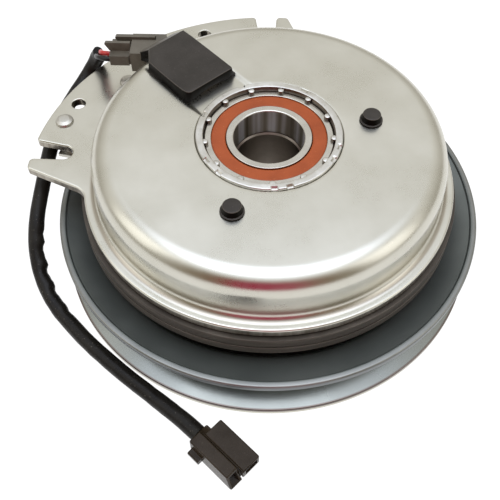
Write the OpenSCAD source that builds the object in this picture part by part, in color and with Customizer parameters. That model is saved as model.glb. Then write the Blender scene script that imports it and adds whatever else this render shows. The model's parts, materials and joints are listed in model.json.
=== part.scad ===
// Electromagnetic clutch with a V-belt pulley, for a vertical shaft.
// The origin is the centre of the rotor hub's lower face. +Z runs up the shaft,
// and every height is counted from the plane that the clutch stands on.

/* [Pulley] */
// Outside radius of the upper rim
rim_r = 96.2; // [96:0.1:96.4]
// Radius at the bottom of the belt groove
groove_r = 80; // [79.8:0.1:80.2]
// Height of the plane where the two flanges meet
split_z = 13.3; // [13.2:0.05:13.4]
// Thickness of the pressed flanges
sheet_t = 3; // [2.8:0.1:3.1]
// Slope of the flanges' cones, rise over run
cone_slope = 0.325; // [0.32:0.005:0.33]
// Number of rivets that hold the flanges to the pulley's hub
rivet_count = 6; // [6:3:6]

/* [Rotor] */
// Radius of the bore for the crankshaft
bore_r = 14.2875; // [14:0.0125:14.4]
// Width of the keyway
key_w = 6.35; // [6:0.05:6.4]
// Height of the hub
hub_h = 54; // [53.9:0.1:54]
// Outside radius of the friction disc
disc_r = 83.4; // [83:0.1:83.5]
// Height of the friction disc's lower face
disc_z = 35.6; // [35.5:0.05:35.7]
// Thickness of the friction disc
disc_t = 4.7; // [4.5:0.1:4.8]

/* [Armature and brake] */
// Outside radius of the armature plate
armature_r = 83.6; // [83:0.1:83.8]
// Thickness of the armature plate
armature_t = 4; // [3.9:0.1:4]
// Air gap between the armature plate and the friction disc
air_gap = 0.5; // [0.3:0.05:0.6]
// Radius of the circle that the spring straps are riveted on
strap_ring_r = 56; // [55.5:0.1:56.5]
// Angle between the two rivets of a strap
strap_turn = 42; // [40:1:44]
// Width of a strap
strap_w = 12; // [10:0.5:12]
// Thickness of a strap
strap_t = 1; // [0.8:0.1:1]
// Thickness of the brake shoe
shoe_t = 1.8; // [1.5:0.1:1.8]

/* [Field shell] */
// Height of the shell's top face
shell_top_z = 68.3; // [68.2:0.1:68.4]
// Thickness of the shell's sheet
shell_t = 4; // [3.9:0.1:4.1]
// Outside radius of the skirt
skirt_r = 76; // [75.9:0.1:76.1]
// Radius of the rounded shoulder
shoulder_r = 9; // [8.5:0.5:9.5]
// Radius of the hollow bend between skirt and flange
fillet_r = 3.5; // [3.2:0.1:3.6]
// Outside radius of the flange
flange_r = 81.7; // [81.5:0.1:81.9]
// Height of the flange's lower face
flange_z = 41.5; // [41.4:0.05:41.6]
// Outside radius of the torque bracket
bracket_r = 108.2; // [107.8:0.1:108.2]
// Radius of the bracket's holes
bracket_hole_r = 3.25; // [3:0.05:3.4]

/* [Field bearing] */
// Bore radius
field_bore_r = 15; // [14.9:0.1:15]
// Outside radius
field_out_r = 27.5; // [27.5:0.1:27.6]
// Width
field_w = 13; // [12.9:0.1:13]
// Radius of a ball
field_ball_r = 3.572; // [3.5:0.004:3.58]
// Number of balls
field_balls = 11; // [9:1:11]

/* [Pulley bearing] */
// Bore radius
pulley_bore_r = 20; // [19.9:0.1:20]
// Outside radius
pulley_out_r = 34; // [34:0.1:34.1]
// Width
pulley_w = 15; // [14.9:0.1:15]
// Radius of a ball
pulley_ball_r = 3.969; // [3.9:0.003:3.972]
// Number of balls
pulley_balls = 12; // [10:1:12]

/* [Cover, plug and harness] */
// Direction of the terminal cover from the shaft
cover_angle = 133.5; // [133:0.5:134]
// Height of the cover's top face
cover_top_z = 73.3; // [73:0.1:73.4]
// Wall of the cover
cover_wall = 1.6; // [1.2:0.1:1.8]
// Radius of the harness sleeve
sleeve_r = 3.6; // [3:0.1:3.6]
// Radius of one wire
wire_r = 1.2; // [1:0.1:1.2]
// Direction that the end connector points in
connector_angle = -42.5; // [-44:0.5:-41]

/* [Hidden] */
$fn = 96;

// How far a cutting solid runs past a face
past = 1;
// Clearance between pieces that slide into each other
slip = 0.2;

// Pulley
lower_rim_r = rim_r - 0.2;
groove_low_z = 8.8;
groove_high_z = 17.9;
rim_lip_w = 2.8;
rim_lip_h = 3;
wall_in_r = groove_r - sheet_t;
web_in_r = 40;
web_bottom_z = split_z - sheet_t;
web_top_z = split_z + sheet_t;
rivet_ring_r = 52;
rivet_r = 3;
pulley_hub_z = 3;
pulley_hub_top_z = 24;
hub_flange_r = 62.8;
hub_flange_t = 3.5;
hub_flange_top_z = web_top_z + hub_flange_t;
post_r = 6;
post_angles = [30, 150, 270];

// Armature, springs and brake
armature_top_z = disc_z - air_gap;
armature_z = armature_top_z - armature_t;
armature_in_r = 45;
strap_z = armature_z - strap_t;
strap_rivet_r = 2.5;
strap_rivet_depth = 9;
strap_head_r = 4.6;
strap_hole_r = strap_rivet_r + 0.3;
strap_head_hole_r = 7;
magnet_z = 29.6;
magnet_t = 1.4;
shoe_z = magnet_z - shoe_t;
shoe_in_r = 77;
shoe_out_r = 103.8;
shoe_start = 138;
shoe_sweep = 30;
bracket_rivet_r = 2.2;
// The bracket's two rivets, each as radius and angle
bracket_rivet_spots = [[100, 164.1], [89, 141.5]];

// Rotor
journal_r = pulley_bore_r;
hub_shoulder_r = 23.5;
hub_shoulder_top_z = 33;
hub_collar_r = 30;
disc_seat_r = 26;
hub_neck_r = 22;
hub_nose_r = 18;
hub_nose_z = 46;
key_top_r = 17.2;
bore_chamfer = 0.7;
banana_in_r = 52;
banana_out_r = 56;
banana_sweep = 40;
banana_count = 6;

// Bearings: a ball sits on the middle circle, half way between bore and outside
ball_play = 0.05;
field_mid_r = (field_bore_r + field_out_r) / 2;
field_bearing_z = hub_h;
pulley_mid_r = (pulley_bore_r + pulley_out_r) / 2;
pulley_bearing_z = 6;
ring_shoulder = 2.15;
inner_shoulder = 3.05;
// How far a seal reaches into the outer ring
seal_reach = 1.2;
seal_t = 1.2;
seal_inset = 0.3;
seal_gap = 0.3;
snap_t = 1.5;

// Field shell
flat_r = skirt_r - shoulder_r;
shoulder_z = shell_top_z - shoulder_r;
flange_top_z = flange_z + shell_t;
fillet_z = flange_top_z + fillet_r;
fillet_mid_r = skirt_r + fillet_r;
shell_under_z = shell_top_z - shell_t;
// The bracket is the same on both sides of this angle
bracket_angle = 133.3;
// The bracket's two open holes, each as radius and angle
bracket_holes = [[99.8, 156.7], [99.2, 110.6]];
slot_end = [-93.2, 8];
slot_end_r = 4;
slot_mouth_high = [-112, 16.3];
slot_mouth_low = [-112, 4.2];
prong_tip = [-107.9, -1.9];
prong_angle = -23.8;
prong_fillet_r = 8;
channel_half_w = 14;
channel_depth = 0.9;
channel_z = shell_top_z - channel_depth;
opening_near = 44;
opening_far = 60;
opening_half_w = 8;

// Bearing carrier
neck_r = 31.3;
carrier_r = 34.5;
carrier_z = 41.9;
carrier_top_z = 69.2;
carrier_low_bore_r = 24.8;
stake_ring_r = 27.6;
stake_r = 1.1;
stake_count = 13;
stake_first = -3;
stake_z = field_bearing_z + field_w;

// Coil
bobbin_in_r = 35;
bobbin_wall = 1.5;
bobbin_low_z = 44;
bobbin_high_z = 64.1;
winding_r = 68;
potting_r = 71.9;

// Locating plugs
plug_ring_r = 44.2;
plug_angles = [-107.9, 12.1];
plug_hole_r = 3.6;
plug_flange_r = 4.95;
plug_flange_t = 1;
plug_base_r = 4.3;
plug_tip_r = 3.8;
plug_h = 4;

// Terminal cover, as [along the cover's direction, height] and [along, across]
cover_near = 36.3;
cover_far = 81;
cover_slope_start = 71;
cover_slope_end_z = 66;
cover_skirt_z = 62;
cover_right = -12.3;
cover_left = 13.4;
cover_far_left = 8.6;

// Socket on the terminal housing: its block and the cavity that the plug enters
socket_low = [-66, 51.6, 55.7];
socket_size = [16, 14.4, 10.6];
cavity_low = [-67, 53.5, 57.5];
cavity_size = [12, 11, 6];
plug_back_x = -76.3;
plug_face_x = -67.2;
blade_y = [56.7, 61.5];
blade_z = 60.5;

// Wires and sleeve: the routes' points
red_route = [[plug_back_x, 58, 60.5], [-78.8, 58.4, 60.4], [-81.2, 60.2, 59.2],
    [-82.6, 63.2, 57.2], [-83.3, 66, 54.8], [-84.1, 67.8, 52]];
black_route = [[plug_back_x, 54.6, 60.3], [-79.2, 55, 60.2], [-82.2, 57, 59],
    [-84.2, 60.2, 57], [-85, 63.4, 54.8], [-85.7, 65.8, 52]];
sleeve_route = [[-84.5, 66.5, 53], [-86.7, 68.3, 49], [-89, 68.5, 45], [-91.5, 66.7, 41.6],
    [-94.2, 63.2, 38.8], [-97, 58.2, 36.8], [-99.6, 52, 35.5], [-102, 44, 34.6],
    [-103.5, 35, 34], [-104.5, 25, 33.2], [-105, 13, 31.5], [-105.5, 0, 28.5],
    [-106.5, -12, 23.5], [-106.5, -22.5, 17], [-104.5, -32, 10.8], [-100, -41.5, 6.6],
    [-93.5, -50.5, 4.4], [-85.5, -58.8, 3.7], [-77, -67, 3.7], [-67.5, -75, 3.7],
    [-58, -82.5, 3.7], [-48.5, -89.5, 3.8], [-40, -96, 4.6], [-32, -102.3, 5.6],
    [-25, -108.5, 6.5]];
// Direction that stays across all three routes
route_side = [1, 1, 0];
sleeve_sides = 10;
wire_sides = 8;

// End connector, along its length, across it from its right side, and up
connector_corner = [-16.6, -102.9, 0];
right_part = [22, 9.2, 6.4];
right_z = 4;
left_part = [21.2, 6.2, 10.4];
left_start = -2.4;

// ---- Shared shapes ----

module ring(r_in, r_out, z_low, z_high) {
    rotate_extrude() translate([r_in, z_low]) square([r_out - r_in, z_high - z_low]);
}

// Moves its children out from the shaft and round it
module at(radius, angle) {
    rotate([0, 0, angle]) translate([radius, 0, 0]) children();
}

// A box between two corners
module span(low, high) {
    translate(low) cube(high - low);
}

module rod(radius, z_low, z_high) {
    translate([0, 0, z_low]) cylinder(r = radius, h = z_high - z_low);
}

// A quarter of a flat ring, turned anticlockwise by quarters
module bend(centre, r_in, r_out, quarters) {
    translate(centre) rotate(90 * quarters)
        difference() {
            intersection() {
                circle(r = r_out);
                square(r_out + past);
            }
            circle(r = r_in);
        }
}

function unit(v) = v / norm(v);

function route_direction(route, i) =
    unit(route[min(i + 1, len(route) - 1)] - route[max(i - 1, 0)]);

function route_ring(route, i, radius, sides) =
    let (along = route_direction(route, i))
    let (across = unit(cross(route_side, along)))
    let (up = cross(along, across))
    [for (k = [0 : sides - 1])
        let (a = 360 * k / sides)
        route[i] + radius * (cos(a) * across + sin(a) * up)];

// A round tube through the points of a route
module tube(route, radius, sides) {
    rings = len(route);
    points = [for (i = [0 : rings - 1]) each route_ring(route, i, radius, sides)];
    walls = [for (i = [0 : rings - 2], k = [0 : sides - 1])
        let (next = (k + 1) % sides)
        [i * sides + k, (i + 1) * sides + k, (i + 1) * sides + next, i * sides + next]];
    start = [for (k = [0 : sides - 1]) k];
    end = [for (k = [sides - 1 : -1 : 0]) (rings - 1) * sides + k];
    polyhedron(points, concat(walls, [start, end]));
}

// ---- Field: shell, carrier and coil ----

module shell_profile() {
    translate([neck_r, shell_under_z]) square([flat_r - neck_r, shell_t]);
    bend([flat_r, shoulder_z], shoulder_r - shell_t, shoulder_r, 0);
    translate([skirt_r - shell_t, fillet_z]) square([shell_t, shoulder_z - fillet_z]);
    bend([fillet_mid_r, fillet_z], fillet_r, fillet_r + shell_t, 2);
    translate([fillet_mid_r, flange_z]) square([flange_r - fillet_mid_r, shell_t]);
}

// The shallow pressed channel that the cover sits in
module cover_channel() {
    rotate([0, 0, cover_angle])
        span([neck_r - past, -channel_half_w, channel_z],
            [skirt_r, channel_half_w, shell_top_z + past]);
}

// The space inside the shell's outer face, down to the flange
module shell_envelope() {
    difference() {
        rotate_extrude() {
            square([flat_r, shell_top_z]);
            square([skirt_r, shoulder_z]);
            bend([flat_r, shoulder_z], 0.001, shoulder_r, 0);
        }
        cover_channel();
    }
}

// The same point on the bracket's other side
function mirrored(p) = [p[0] * cos(2 * bracket_angle) + p[1] * sin(2 * bracket_angle),
    p[0] * sin(2 * bracket_angle) - p[1] * cos(2 * bracket_angle)];

// Where the prong's lower edge runs, and the centre of the arc that leads it into the flange.
// The arc bites a little into both, so that it crosses their edges cleanly.
prong_along = [cos(prong_angle), sin(prong_angle)];
prong_out = [sin(prong_angle), -cos(prong_angle)];
prong_bite = 0.05;
prong_near_r = prong_fillet_r - prong_bite;
prong_offset = prong_tip + prong_near_r * prong_out;
prong_reach = flange_r + prong_near_r;
prong_half = prong_offset * prong_along;
prong_run = -prong_half - sqrt(prong_half * prong_half - prong_offset * prong_offset
    + prong_reach * prong_reach);
prong_centre = prong_offset + prong_run * prong_along;
prong_touch = prong_centre - prong_near_r * prong_out - 0.5 * prong_along;
prong_web = [prong_touch - prong_out, prong_touch + 0.5 * prong_out,
    prong_centre * (flange_r + 0.5) / prong_reach,
    prong_centre * (flange_r - 1) / prong_reach, [-74, -10]];

module web(outline, centre) {
    difference() {
        polygon(outline);
        translate(centre) circle(r = prong_fillet_r);
    }
}

module bracket_outline() {
    edge = [prong_tip + 40 * prong_along, prong_tip - 40 * prong_along, [-150, 60]];
    intersection() {
        circle(r = bracket_r);
        polygon([edge[0], edge[1], edge[2],
            160 * [cos(bracket_angle), sin(bracket_angle)],
            mirrored(edge[2]), mirrored(edge[1]), mirrored(edge[0])]);
    }
    web(prong_web, prong_centre);
    web([for (p = prong_web) mirrored(p)], mirrored(prong_centre));
}

module torque_slot(end, end_high, end_low, mouth_high, mouth_low) {
    polygon([mouth_high, end_high, end_low, mouth_low]);
    translate(end) circle(r = slot_end_r);
}

module torque_slots() {
    // The straight sides end just inside the round end
    end_high = slot_end + [0.6, slot_end_r - 0.15];
    end_low = slot_end - [-0.9, slot_end_r - 0.12];
    torque_slot(slot_end, end_high, end_low, slot_mouth_high, slot_mouth_low);
    torque_slot(mirrored(slot_end), mirrored(end_high), mirrored(end_low),
        mirrored(slot_mouth_high), mirrored(slot_mouth_low));
}

module bracket() {
    difference() {
        translate([0, 0, flange_z]) linear_extrude(shell_t)
            difference() {
                bracket_outline();
                circle(r = fillet_mid_r);
                torque_slots();
            }
        for (spot = bracket_holes)
            at(spot[0], spot[1]) rod(bracket_hole_r, flange_z - past, flange_top_z + past);
        for (spot = bracket_rivet_spots)
            at(spot[0], spot[1]) rod(bracket_rivet_r, flange_z - past, flange_top_z + past);
    }
}

module field_shell() {
    color("gainsboro") {
        difference() {
            rotate_extrude() shell_profile();
            cover_channel();
            for (angle = plug_angles)
                at(plug_ring_r, angle)
                    rod(plug_hole_r, shell_under_z - past, shell_top_z + past);
            rotate([0, 0, cover_angle])
                span([opening_near, -opening_half_w, shell_under_z - past],
                    [opening_far, opening_half_w, shell_top_z + past]);
        }
        bracket();
    }
}

module bearing_carrier() {
    color("silver") {
        rotate_extrude()
            polygon([[carrier_low_bore_r, carrier_z], [carrier_r, carrier_z],
                [carrier_r, shell_under_z], [neck_r, shell_under_z],
                [neck_r, carrier_top_z - 0.6], [neck_r - 0.6, carrier_top_z],
                [field_out_r + 0.6, carrier_top_z], [field_out_r, carrier_top_z - 0.6],
                [field_out_r, field_bearing_z], [carrier_low_bore_r, field_bearing_z]]);
        for (i = [0 : stake_count - 1])
            at(stake_ring_r, stake_first + i * 360 / stake_count) rod(stake_r, stake_z, stake_z + 1.4);
    }
}

module coil_bobbin() {
    wall_r = bobbin_in_r + bobbin_wall;
    color("khaki") {
        ring(bobbin_in_r, wall_r, bobbin_low_z, bobbin_high_z);
        ring(wall_r, winding_r, bobbin_low_z, bobbin_low_z + bobbin_wall);
        ring(wall_r, winding_r, bobbin_high_z - bobbin_wall, bobbin_high_z);
    }
}

module coil_winding() {
    color("peru")
        ring(bobbin_in_r + bobbin_wall + 0.1, winding_r, bobbin_low_z + bobbin_wall + 0.1,
            bobbin_high_z - bobbin_wall - 0.1);
}

// Resin that fills the shell's mouth and the room outside the winding
module coil_potting() {
    color("dimgray") {
        ring(bobbin_in_r, potting_r, carrier_z, bobbin_low_z - 0.1);
        ring(winding_r + 0.1, potting_r, bobbin_low_z - 0.1, shoulder_z);
    }
}

module locating_plugs() {
    color([0.16, 0.15, 0.14])
        for (angle = plug_angles)
            at(plug_ring_r, angle) {
                rod(plug_hole_r - 0.1, shell_under_z - 0.1, shell_top_z);
                rod(plug_flange_r, shell_top_z, shell_top_z + plug_flange_t);
                translate([0, 0, shell_top_z + plug_flange_t])
                    cylinder(r1 = plug_base_r, r2 = plug_tip_r, h = plug_h - plug_flange_t);
            }
}

// ---- Field: terminals, cover and plug ----

// The cover's outer form, before the shell is cut away
module cover_form() {
    intersection() {
        translate([0, 0, -past]) linear_extrude(cover_top_z + 2 * past)
            polygon([[cover_near, cover_right], [cover_near + 0.5, cover_left - 0.2],
                [65.3, cover_left + 0.4], [72, cover_far_left], [cover_far, cover_far_left],
                [cover_far, cover_right]]);
        rotate([90, 0, 0]) translate([0, 0, -20]) linear_extrude(40)
            polygon([[cover_near, cover_skirt_z], [cover_near, channel_z + 0.4],
                [cover_near + 0.7, cover_top_z], [cover_slope_start, cover_top_z],
                [cover_far, cover_slope_end_z], [cover_far, cover_skirt_z]]);
    }
    span([55, cover_right - 3.7, cover_skirt_z], [66, cover_right + past, channel_z + 3.4]);
}

module cover_hollow() {
    slope = (cover_top_z - cover_slope_end_z) / (cover_far - cover_slope_start);
    drop = cover_wall * sqrt(1 + slope * slope);
    far = cover_far - cover_wall;
    rotate([90, 0, 0]) translate([0, 0, cover_wall - cover_far_left])
        linear_extrude(cover_far_left - cover_right - 2 * cover_wall)
            polygon([[cover_near + 2 * cover_wall, 0],
                [cover_near + 2 * cover_wall, cover_top_z - cover_wall],
                [cover_slope_start - 0.4, cover_top_z - cover_wall],
                [far, cover_slope_end_z + slope * cover_wall - drop], [far, 0]]);
}

module socket_block(grow) {
    span(socket_low - grow * [1, 1, 1], socket_low + socket_size + grow * [1, 1, 1]);
}

module terminal_cover() {
    color([0.27, 0.25, 0.23])
        difference() {
            rotate([0, 0, cover_angle]) cover_form();
            rotate([0, 0, cover_angle]) cover_hollow();
            shell_envelope();
            socket_block(slip);
        }
}

// Two blades in the socket and two posts that come up from the coil
module field_terminals() {
    color("goldenrod") {
        for (y = blade_y)
            span([-63, y - 0.4, blade_z - 1], [-52, y + 0.4, blade_z + 1]);
        rotate([0, 0, cover_angle])
            for (side = [-4, 4])
                translate([52, side, 0]) rod(1.2, bobbin_high_z, 70);
    }
}

module terminal_housing() {
    color([0.3, 0.29, 0.26])
        difference() {
            union() {
                difference() {
                    union() {
                        rotate([0, 0, cover_angle]) {
                            span([opening_near + slip, -6, channel_z], [69, 6, 71.2]);
                            rotate([90, 0, 0]) translate([0, 0, -5]) linear_extrude(10)
                                polygon([[68, 60], [68, 71.2], [70.4, 71.2],
                                    [79, 64.7], [79, 60]]);
                        }
                        socket_block(0);
                    }
                    shell_envelope();
                }
                rotate([0, 0, cover_angle])
                    span([opening_near + slip, -opening_half_w + slip, shell_under_z],
                        [opening_far - slip, opening_half_w - slip, channel_z]);
            }
            span(cavity_low, cavity_low + cavity_size);
            span([-67, 61.7, 63.2], [-54.8, 64.3, 70]);
            field_terminals();
        }
}

// A wing of the plug: a thin upright rib whose ends slant
module plug_wing(x_low, x_high, y, thickness) {
    translate([0, y + thickness, 0]) rotate([90, 0, 0]) linear_extrude(thickness)
        polygon([[x_low + 2, 63], [x_high - 0.5, 63], [x_high, 67.5], [x_low + 0.6, 67.5],
            [x_low, 66.7]]);
}

module plug_housing() {
    color([0.3, 0.29, 0.26])
        difference() {
            union() {
                span([plug_back_x, 53.3, 57.6], [plug_face_x, 66, 63]);
                span([plug_face_x - past, 53.9, 57.9], [-56, 64.1, 63.1]);
                plug_wing(-78.6, -66.4, 57.4, 1.6);
                plug_wing(-74.1, -55, 62, 2);
            }
            for (y = blade_y)
                span([-66.5, y - 1.5, blade_z - 1.6], [-55, y + 1.5, blade_z + 1.6]);
        }
}

module plug_terminals() {
    color("lightgray")
        for (y = blade_y)
            difference() {
                span([-66.4, y - 1.3, blade_z - 1.4], [-56.4, y + 1.3, blade_z + 1.4]);
                span([-65, y - 0.5, blade_z - 1.1], [-56, y + 0.5, blade_z + 1.1]);
            }
}

module plug_wire_red() {
    color("firebrick") tube(red_route, wire_r, wire_sides);
}

module plug_wire_black() {
    color([0.12, 0.12, 0.12]) tube(black_route, wire_r, wire_sides);
}

module harness_sleeve() {
    color([0.13, 0.12, 0.11]) tube(sleeve_route, sleeve_r, sleeve_sides);
}

// ---- End connector ----

module in_connector() {
    translate(connector_corner) rotate([0, 0, connector_angle]) mirror([0, 1, 0]) children();
}

module connector_housing() {
    left_y = right_part[1];
    left_high = [left_start + 23.7, left_y + left_part[1], left_part[2]];
    color([0.23, 0.18, 0.16])
        in_connector()
            difference() {
                union() {
                    span([0, 0, right_z], [right_part[0], left_y, left_part[2]]);
                    span([left_start, left_y - 3.7, 3], [past, left_y, 10]);
                    rotate([90, 0, 0]) translate([0, 0, -left_high[1]])
                        linear_extrude(left_part[1])
                            polygon([[left_start, 0], [left_high[0], 0],
                                [left_high[0] - 2.4, left_high[2]], [left_start, left_high[2]]]);
                    span([-1, left_high[1] - 0.5, 2.4], [5, left_high[1] + 2.6, 5.2]);
                }
                span([8, 1.4, right_z + 1.2], [right_part[0] + past, left_y - 1.4, 9.4]);
                span([6, left_y + 1.4, 1.4], [left_high[0] + past, left_high[1] - 1.2, 9]);
                span([-5, left_y - 0.3, 9.9], [30, left_y + 0.3, 12]);
            }
}

module connector_terminals() {
    left_y = right_part[1];
    color("lightgray")
        in_connector() {
            span([8, 2.6, 6.9], [18.5, 6.6, 7.7]);
            span([6, left_y + 2.7, 2.6], [17, left_y + 3.5, 7.8]);
        }
}

// ---- Brake ----

module bracket_rivets() {
    dome_r = 5.2;
    dome_h = 2;
    color("silver")
        for (spot = bracket_rivet_spots)
            at(spot[0], spot[1]) {
                rod(bracket_rivet_r, shoe_z, flange_top_z);
                rod(3.6, shoe_z - 1.2, shoe_z);
                intersection() {
                    translate([0, 0, flange_top_z + dome_h - dome_r]) sphere(r = dome_r);
                    rod(dome_r, flange_top_z, flange_top_z + dome_h + past);
                }
            }
}

module brake_spacers() {
    color("lightgray")
        for (spot = bracket_rivet_spots)
            at(spot[0], spot[1]) ring(bracket_rivet_r, 3.5, magnet_z, flange_z);
}

module brake_sector(r_in, r_out, z_low, z_high) {
    rotate([0, 0, shoe_start]) rotate_extrude(angle = shoe_sweep)
        translate([r_in, z_low]) square([r_out - r_in, z_high - z_low]);
}

module brake_shoe() {
    color("darkgray")
        difference() {
            brake_sector(shoe_in_r, shoe_out_r, shoe_z, magnet_z);
            for (spot = bracket_rivet_spots)
                at(spot[0], spot[1]) rod(bracket_rivet_r, shoe_z - past, magnet_z + past);
        }
}

module brake_magnets() {
    color("dimgray") brake_sector(shoe_in_r, armature_r, magnet_z, magnet_z + magnet_t);
}

// ---- Ball bearings ----

module bearing_ring(r_in, r_out, z_low, width, mid_r, ball_r) {
    rotate_extrude()
        difference() {
            translate([r_in, z_low]) square([r_out - r_in, width]);
            translate([mid_r, z_low + width / 2]) circle(r = ball_r + ball_play);
        }
}

module bearing_inner(bore, z_low, width, mid_r, ball_r) {
    bearing_ring(bore, mid_r - inner_shoulder, z_low, width, mid_r, ball_r);
}

module bearing_outer(outside, z_low, width, mid_r, ball_r) {
    seat = mid_r + ring_shoulder + seal_reach;
    difference() {
        bearing_ring(mid_r + ring_shoulder, outside, z_low, width, mid_r, ball_r);
        ring(mid_r, seat, z_low - past, z_low + seal_inset + seal_t);
        ring(mid_r, seat, z_low + width - seal_inset - seal_t, z_low + width + past);
    }
}

module bearing_seal(z_low, mid_r) {
    ring(mid_r - inner_shoulder + seal_gap, mid_r + ring_shoulder + seal_reach, z_low, z_low + seal_t);
}

module bearing_balls(count, mid_r, z_mid, ball_r) {
    for (i = [0 : count - 1])
        at(mid_r, i * 360 / count) translate([0, 0, z_mid]) sphere(r = ball_r);
}

module bearing_cage(count, mid_r, z_mid, ball_r) {
    difference() {
        ring(mid_r - 1.05, mid_r + 1.05, z_mid - ball_r - 0.8, z_mid + ball_r + 0.8);
        bearing_balls(count, mid_r, z_mid, ball_r + 0.1);
    }
}

field_mid_z = field_bearing_z + field_w / 2;
pulley_mid_z = pulley_bearing_z + pulley_w / 2;

module field_bearing_outer_ring() {
    color("gainsboro")
        bearing_outer(field_out_r, field_bearing_z, field_w, field_mid_r, field_ball_r);
}

module field_bearing_inner_ring() {
    color("gainsboro")
        bearing_inner(field_bore_r, field_bearing_z, field_w, field_mid_r, field_ball_r);
}

module field_bearing_upper_seal() {
    color("chocolate")
        bearing_seal(field_bearing_z + field_w - seal_inset - seal_t, field_mid_r);
}

module field_bearing_lower_seal() {
    color("chocolate") bearing_seal(field_bearing_z + seal_inset, field_mid_r);
}

module field_bearing_balls() {
    color("white") bearing_balls(field_balls, field_mid_r, field_mid_z, field_ball_r);
}

module field_bearing_cage() {
    color("darkkhaki") bearing_cage(field_balls, field_mid_r, field_mid_z, field_ball_r);
}

module pulley_bearing_outer_ring() {
    color("gainsboro")
        bearing_outer(pulley_out_r, pulley_bearing_z, pulley_w, pulley_mid_r, pulley_ball_r);
}

module pulley_bearing_inner_ring() {
    color("gainsboro")
        bearing_inner(pulley_bore_r, pulley_bearing_z, pulley_w, pulley_mid_r, pulley_ball_r);
}

module pulley_bearing_upper_seal() {
    color("chocolate")
        bearing_seal(pulley_bearing_z + pulley_w - seal_inset - seal_t, pulley_mid_r);
}

module pulley_bearing_lower_seal() {
    color("chocolate") bearing_seal(pulley_bearing_z + seal_inset, pulley_mid_r);
}

module pulley_bearing_balls() {
    color("white") bearing_balls(pulley_balls, pulley_mid_r, pulley_mid_z, pulley_ball_r);
}

module pulley_bearing_cage() {
    color("darkkhaki") bearing_cage(pulley_balls, pulley_mid_r, pulley_mid_z, pulley_ball_r);
}

// ---- Rotor ----

module rotor_hub() {
    color("darkgray")
        difference() {
            union() {
                cylinder(r1 = journal_r - 1, r2 = journal_r, h = 1);
                rod(journal_r, 1, pulley_bearing_z + pulley_w);
                rod(hub_shoulder_r, pulley_bearing_z + pulley_w, hub_shoulder_top_z);
                rod(hub_collar_r, hub_shoulder_top_z, disc_z);
                rod(disc_seat_r, disc_z, disc_z + disc_t);
                rod(hub_neck_r, disc_z + disc_t, hub_nose_z);
                rod(hub_nose_r, hub_nose_z, hub_h);
            }
            rod(bore_r, -past, hub_h + past);
            translate([0, 0, hub_h - bore_chamfer])
                cylinder(r1 = bore_r, r2 = bore_r + 2 * bore_chamfer, h = 2 * bore_chamfer);
            span([-key_w / 2, -key_top_r, -past], [key_w / 2, 0, hub_h + past]);
            ring(journal_r - 1.1, journal_r + past, pulley_bearing_z - snap_t, pulley_bearing_z);
        }
}

module rotor_disc() {
    color([0.38, 0.35, 0.32])
        difference() {
            ring(disc_seat_r, disc_r, disc_z, disc_z + disc_t);
            for (i = [0 : banana_count - 1])
                rotate([0, 0, i * 360 / banana_count]) rotate_extrude(angle = banana_sweep)
                    translate([banana_in_r, disc_z - past])
                        square([banana_out_r - banana_in_r, disc_t + 2 * past]);
        }
}

// A split ring with a gap, as sprung into a groove
module snap_ring(r_in, r_out) {
    rotate([0, 0, 15]) rotate_extrude(angle = 330)
        translate([r_in, pulley_bearing_z - snap_t]) square([r_out - r_in, snap_t]);
}

module hub_snap_ring() {
    color("dimgray") snap_ring(journal_r - 1.1, journal_r + 2.4);
}

// ---- Pulley ----

module pulley_snap_ring() {
    color("dimgray") snap_ring(pulley_out_r - 2.6, pulley_out_r + 1.2);
}

module pulley_hub() {
    lip_in_r = pulley_out_r - 2;
    snap_groove_r = pulley_out_r + 1.2;
    snap_groove_z = pulley_bearing_z - snap_t;
    bearing_top_z = pulley_bearing_z + pulley_w;
    color("lightgray")
        difference() {
            union() {
                rotate_extrude()
                    polygon([[pulley_out_r, pulley_hub_z], [web_in_r, pulley_hub_z],
                        [web_in_r, web_top_z], [hub_flange_r, web_top_z],
                        [hub_flange_r, hub_flange_top_z], [web_in_r, hub_flange_top_z],
                        [web_in_r, pulley_hub_top_z], [lip_in_r, pulley_hub_top_z],
                        [lip_in_r, bearing_top_z], [pulley_out_r, bearing_top_z],
                        [pulley_out_r, pulley_bearing_z], [snap_groove_r, pulley_bearing_z],
                        [snap_groove_r, snap_groove_z], [pulley_out_r, snap_groove_z]]);
                for (angle = post_angles)
                    at(strap_ring_r, angle) rod(post_r, hub_flange_top_z, strap_z);
            }
            rivet_holes();
            for (angle = post_angles)
                at(strap_ring_r, angle) rod(strap_rivet_r, strap_z - strap_rivet_depth, strap_z + past);
        }
}

module rivet_holes() {
    for (i = [0 : rivet_count - 1])
        at(rivet_ring_r, i * 360 / rivet_count)
            rod(rivet_r, web_bottom_z - past, hub_flange_top_z + past);
}

module pulley_upper_flange() {
    tip_z = groove_high_z + cone_slope * (rim_r - groove_r);
    top_z = tip_z + rim_lip_h;
    lip_r = rim_r - rim_lip_w;
    cone_top_z = top_z - 0.9;
    cone_in_r = groove_r + 0.5;
    cone_in_z = cone_top_z - cone_slope * (lip_r - 0.4 - cone_in_r);
    color("lightgray")
        difference() {
            rotate_extrude()
                polygon([[web_in_r, split_z], [groove_r, split_z], [groove_r, groove_high_z],
                    [rim_r, tip_z], [rim_r, top_z - 0.8], [rim_r - 0.8, top_z],
                    [lip_r, top_z], [lip_r - 0.4, cone_top_z], [cone_in_r, cone_in_z],
                    [wall_in_r + 1.4, cone_in_z - 1], [wall_in_r, cone_in_z - 3],
                    [wall_in_r, web_top_z], [web_in_r, web_top_z]]);
            rivet_holes();
        }
}

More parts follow.
